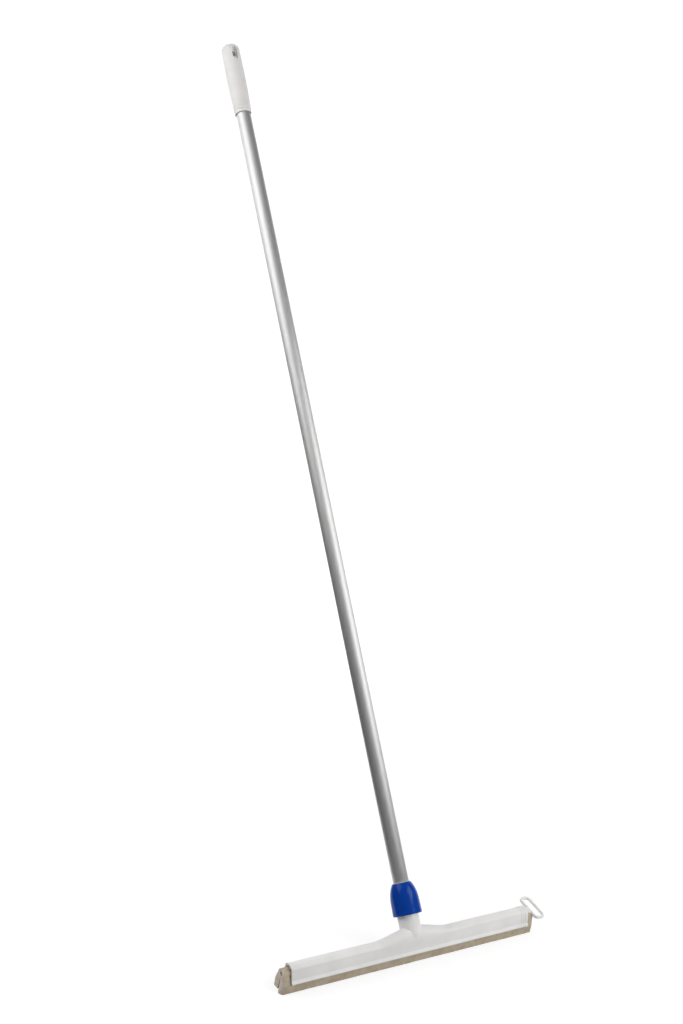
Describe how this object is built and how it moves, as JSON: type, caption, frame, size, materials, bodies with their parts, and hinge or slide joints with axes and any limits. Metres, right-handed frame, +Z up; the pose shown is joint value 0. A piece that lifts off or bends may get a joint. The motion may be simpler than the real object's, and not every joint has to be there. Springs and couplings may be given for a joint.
{
  "type": "floor squeegee",
  "caption": "Long-handled floor squeegee with a folded foam-rubber cassette, white moulded head, blue clamp nut and aluminium handle",
  "frame": {"origin": "middle of the front lip's foot on the floor, half way along the blade", "axes": "+X along the blade to the pull loop, +Y back towards the user's handle, +Z up"},
  "size_m": [0.471, 0.8989, 1.2387],
  "materials": {
    "anodised_tube": "satin",
    "grip_plastic": "satin",
    "nut_plastic": "gloss",
    "head_plastic": "satin",
    "core_plastic": "satin",
    "foam_rubber": "matte"
  },
  "bodies": {
    "handle": {"handle_tube": "anodised_tube", "hand_grip": "grip_plastic", "tube_bung": "core_plastic"},
    "head": {"squeegee_frame": "head_plastic"},
    "cassette": {"rubber_blade": "foam_rubber", "blade_core": "core_plastic"},
    "collet": {"clamp_collet": "core_plastic"},
    "nut": {"clamp_nut": "nut_plastic"}
  },
  "joints": [
    {"name": "head_slide", "type": "slide", "parent": "handle", "child": "head", "axis": [0, -0.5878, -0.809], "range_m": [0, 0.072]},
    {"name": "cassette_slide", "type": "slide", "parent": "head", "child": "cassette", "axis": [1, 0, 0], "range_m": [-0.009, 0.42]},
    {"name": "collet_slide", "type": "slide", "parent": "head", "child": "collet", "axis": [0, 0.5878, 0.809], "range_m": [0, 0.016]},
    {"name": "nut_turn", "type": "hinge", "parent": "collet", "child": "nut", "pos_m": [0, 0.00725, 0.034], "axis": [0, 0.5878, 0.809], "range_deg": [0, 1440]}
  ],
  "couplings": [
    {"joint": "collet_slide", "follows": "nut_turn", "m_per_rad": 0.00063662}
  ]
}
